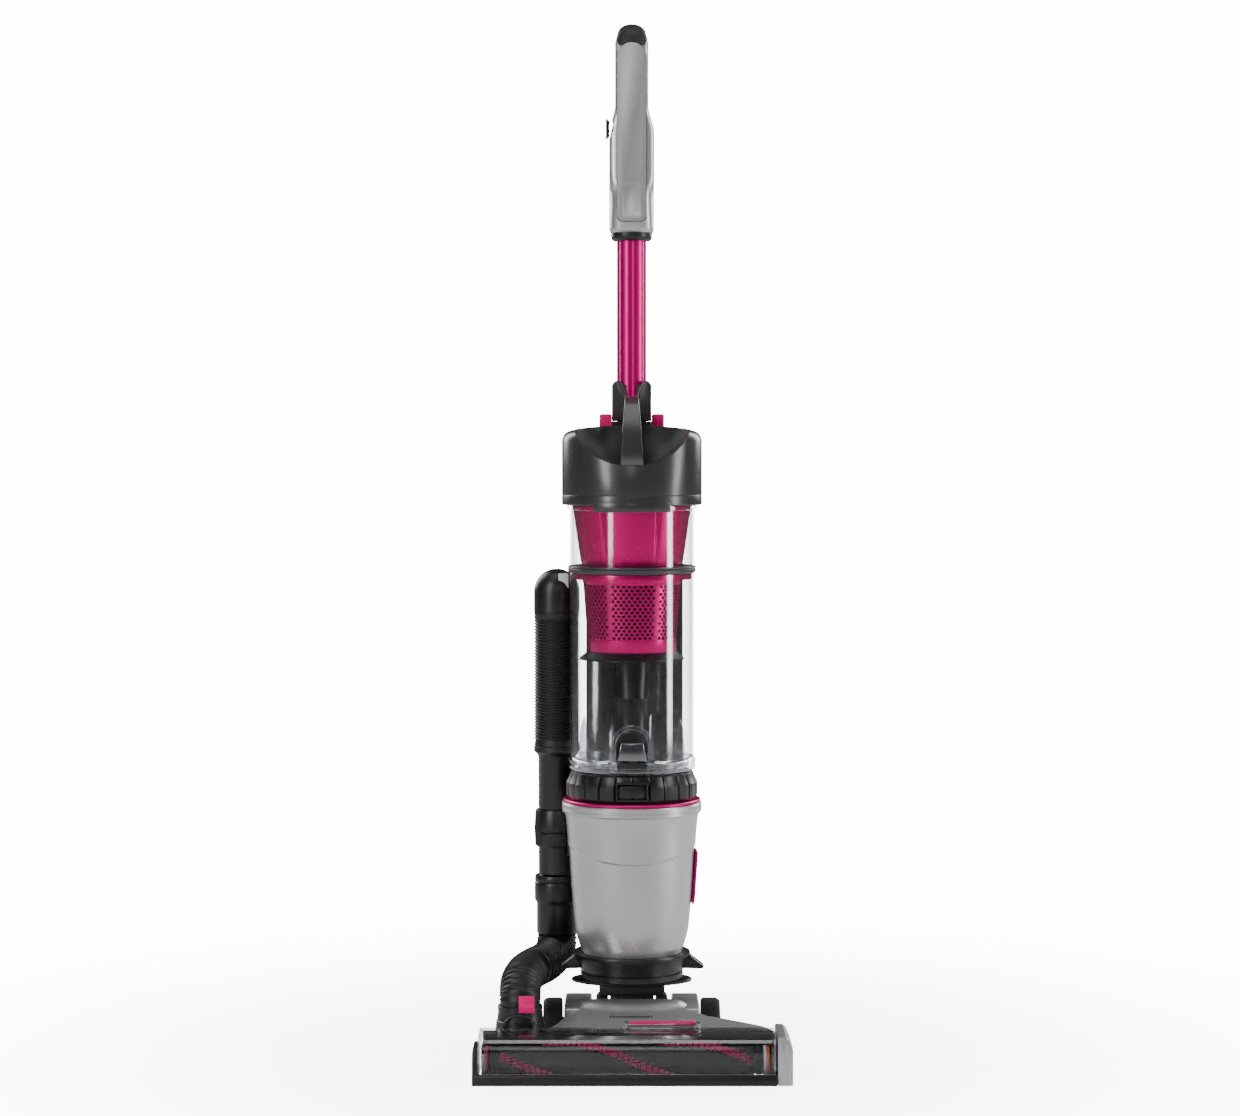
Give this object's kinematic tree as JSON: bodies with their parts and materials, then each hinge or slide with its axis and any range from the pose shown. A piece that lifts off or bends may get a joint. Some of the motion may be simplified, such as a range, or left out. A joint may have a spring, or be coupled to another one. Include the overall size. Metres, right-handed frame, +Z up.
{
  "type": "upright vacuum cleaner",
  "caption": "Upright vacuum cleaner: wide floor head with a brush bar, steerable motor body, clear cyclone bin, side suction hose and a pull-out wand with a loop handle.",
  "frame": {"origin": "on the floor, in the middle of the footprint", "axes": "+Z up, -Y towards the front of the floor head, +X to the right of someone facing the front"},
  "size_m": [0.3094, 0.318, 1.051],
  "materials": {
    "black_plastic": "satin",
    "black_rubber": "matt",
    "silver_paint": "metallic satin",
    "dark_grey_plastic": "satin",
    "pink_metallic": "metallic gloss",
    "clear_plastic": "clear gloss",
    "smoke_plastic": "smoke gloss",
    "steel": "plain",
    "aluminium_can": "plain",
    "pink_tube": "anodised gloss",
    "white_felt": "matt",
    "white_plastic": "satin",
    "pink_bristle": "fibrous"
  },
  "bodies": {
    "floor_head": {"front_bumper": "black_plastic", "head_window": "clear_plastic", "side_cap_left": "black_plastic", "side_cap_right": "silver_paint", "sole_plate": "black_plastic", "head_chassis": "black_plastic", "head_cover": "silver_paint", "hose_port": "black_plastic", "brush_motor": "aluminium_can", "drive_belt": "black_rubber", "brush_bearing_left": "white_plastic", "brush_bearing_right": "white_plastic", "axle": "steel"},
    "brush": {"brush_core": "black_plastic", "brush_bristles": "pink_bristle"},
    "brush_motor_shaft": {"motor_pulley": "steel"},
    "left_wheel": {"wheel_left": "black_rubber"},
    "right_wheel": {"wheel_right": "black_rubber"},
    "port_clip": {"port_release_clip": "pink_metallic"},
    "push_bar": {"window_release": "pink_metallic"},
    "neck": {"neck_yoke": "black_plastic"},
    "main_body": {"base_collar": "black_plastic", "motor_housing": "silver_paint", "exhaust_filter": "white_felt", "suction_motor": "aluminium_can", "trim_ring": "pink_metallic", "motor_top_ring": "black_plastic", "premotor_filter": "white_felt", "spine": "black_plastic", "wand_socket": "dark_grey_plastic", "stretch_hose": "black_rubber", "hose_elbow": "black_plastic", "hose_connector": "silver_paint", "grip_tube": "black_plastic", "tube_clip": "black_plastic", "lower_cuff": "black_plastic", "lower_hose": "black_rubber", "cord_gland": "black_plastic", "cable_hook_lower": "black_plastic"},
    "fan": {"fan_rotor": "steel"},
    "exhaust_door": {"exhaust_cover": "pink_metallic"},
    "dust_bin": {"bin_lower_shell": "clear_plastic", "seal_ring": "dark_grey_plastic", "bin_upper_shell": "clear_plastic", "cyclone_cone": "pink_metallic", "shroud": "pink_metallic", "shroud_skirt": "black_plastic", "inner_cyclone": "black_plastic", "bin_base": "clear_plastic", "bin_cap": "dark_grey_plastic", "carry_handle": "dark_grey_plastic"},
    "latch": {"bin_latch": "smoke_plastic"},
    "left_button": {"bin_button_left": "pink_metallic"},
    "right_button": {"bin_button_right": "pink_metallic"},
    "wand": {"wand_tube": "pink_tube", "wand_collar": "black_plastic", "handle_shell": "silver_paint", "handle_grip": "black_rubber"},
    "switch": {"power_switch": "black_plastic"},
    "upper_hook": {"cable_hook_upper": "black_plastic"}
  },
  "joints": [
    {"name": "recline", "type": "hinge", "parent": "floor_head", "child": "neck", "pos_m": [0, 0.056, 0.0235], "axis": [-1, 0, 0], "range_deg": [0, 60], "deforming": ["lower_hose"]},
    {"name": "steer", "type": "hinge", "parent": "neck", "child": "main_body", "pos_m": [0, 0.011, 0.0768], "axis": [0, 0, 1], "range_deg": [-35, 35], "deforming": ["lower_hose"]},
    {"name": "bin_lift_off", "type": "slide", "parent": "main_body", "child": "dust_bin", "axis": [0, -1, 0], "range_m": [0, 0.12]},
    {"name": "wand_pull_out", "type": "slide", "parent": "main_body", "child": "wand", "axis": [0, 0, 1], "range_m": [0, 0.06]},
    {"name": "brush_spin", "type": "hinge", "parent": "floor_head", "child": "brush", "pos_m": [0, -0.13115, 0.0205], "axis": [1, 0, 0], "continuous": true},
    {"name": "motor_spin", "type": "hinge", "parent": "floor_head", "child": "brush_motor_shaft", "pos_m": [0, -0.093, 0.0265], "axis": [1, 0, 0], "continuous": true},
    {"name": "wheel_left_roll", "type": "hinge", "parent": "floor_head", "child": "left_wheel", "pos_m": [0, 0.056, 0.0235], "axis": [1, 0, 0], "continuous": true},
    {"name": "wheel_right_roll", "type": "hinge", "parent": "floor_head", "child": "right_wheel", "pos_m": [0, 0.056, 0.0235], "axis": [1, 0, 0], "continuous": true},
    {"name": "fan_spin", "type": "hinge", "parent": "main_body", "child": "fan", "pos_m": [0, 0.011, 0.104], "axis": [0, 0, 1], "continuous": true},
    {"name": "exhaust_cover_pull", "type": "slide", "parent": "main_body", "child": "exhaust_door", "axis": [1, 0, 0], "range_m": [0, 0.03]},
    {"name": "port_clip_press", "type": "slide", "parent": "floor_head", "child": "port_clip", "axis": [0, 1, 0], "range_m": [0, 0.002], "stiffness_N_per_m": 300, "springref_m": -0.001},
    {"name": "window_release_press", "type": "slide", "parent": "floor_head", "child": "push_bar", "axis": [0, 0, -1], "range_m": [0, 0.0015], "stiffness_N_per_m": 300, "springref_m": -0.001},
    {"name": "bin_latch_press", "type": "slide", "parent": "dust_bin", "child": "latch", "axis": [0, 1, 0], "range_m": [0, 0.0012], "stiffness_N_per_m": 300, "springref_m": -0.001},
    {"name": "bin_button_left_press", "type": "slide", "parent": "dust_bin", "child": "left_button", "axis": [0, 0, -1], "range_m": [0, 0.003], "stiffness_N_per_m": 300, "springref_m": -0.001},
    {"name": "bin_button_right_press", "type": "slide", "parent": "dust_bin", "child": "right_button", "axis": [0, 0, -1], "range_m": [0, 0.003], "stiffness_N_per_m": 300, "springref_m": -0.001},
    {"name": "power_switch_press", "type": "slide", "parent": "wand", "child": "switch", "axis": [1, 0, 0], "range_m": [0, 0.002], "stiffness_N_per_m": 300, "springref_m": -0.001},
    {"name": "cable_hook_turn", "type": "hinge", "parent": "wand", "child": "upper_hook", "pos_m": [0, 0.128, 0.842], "axis": [0, 1, 0], "range_deg": [0, 180]}
  ],
  "couplings": [
    {"joint": "motor_spin", "follows": "brush_spin", "ratio": 2.4583}
  ]
}
